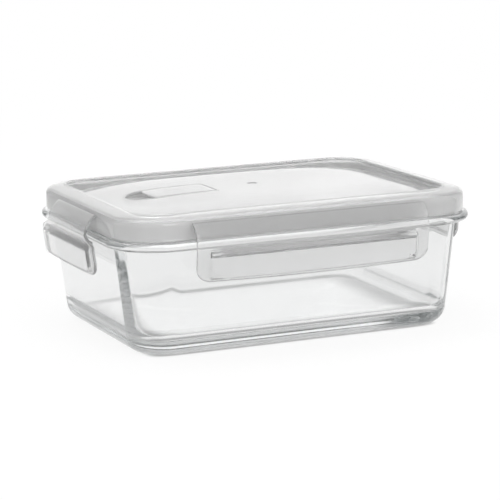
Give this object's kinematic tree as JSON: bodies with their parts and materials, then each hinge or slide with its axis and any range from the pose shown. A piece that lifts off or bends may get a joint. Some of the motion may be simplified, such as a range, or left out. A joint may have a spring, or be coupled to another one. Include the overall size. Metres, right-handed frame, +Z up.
{
  "type": "snap lid food container",
  "caption": "Rectangular glass food dish with a clear domed lid that four hinged latches hold shut, a silicone seal ring and a small vent flap.",
  "frame": {"origin": "centre of the foot's flat underside, on the surface the dish stands on", "axes": "+Z up, +X along the long side with the vent on the -X side, -Y towards the front long latch"},
  "size_m": [0.2172, 0.1648, 0.0751],
  "materials": {
    "dish_glass": "polished pressed glass",
    "lid_plastic": "clear, slightly milky",
    "silicone": "matte translucent white"
  },
  "bodies": {
    "dish": {"glass_dish": "dish_glass"},
    "lid": {"lid_shell": "lid_plastic", "lid_gasket": "silicone"},
    "latch_front": {"latch_front": "lid_plastic"},
    "latch_back": {"latch_back": "lid_plastic"},
    "latch_left": {"latch_left": "lid_plastic"},
    "latch_right": {"latch_right": "lid_plastic"},
    "vent": {"vent_flap": "lid_plastic", "vent_plug": "silicone"}
  },
  "joints": [
    {"name": "lid_lift", "type": "slide", "parent": "dish", "child": "lid", "axis": [0, 0, 1], "range_m": [0, 0.09]},
    {"name": "latch_front_hinge", "type": "hinge", "parent": "lid", "child": "latch_front", "pos_m": [0, -0.07445, 0.07], "axis": [-1, 0, 0], "range_deg": [0, 115]},
    {"name": "latch_back_hinge", "type": "hinge", "parent": "lid", "child": "latch_back", "pos_m": [0, 0.07445, 0.07], "axis": [1, 0, 0], "range_deg": [0, 115]},
    {"name": "latch_left_hinge", "type": "hinge", "parent": "lid", "child": "latch_left", "pos_m": [-0.1006, 0, 0.07], "axis": [0, 1, 0], "range_deg": [0, 115]},
    {"name": "latch_right_hinge", "type": "hinge", "parent": "lid", "child": "latch_right", "pos_m": [0.1006, 0, 0.07], "axis": [0, -1, 0], "range_deg": [0, 115]},
    {"name": "vent_flap_hinge", "type": "hinge", "parent": "lid", "child": "vent", "pos_m": [-0.02779, 0, 0.07395], "axis": [0, 1, 0], "range_deg": [0, 95]}
  ]
}
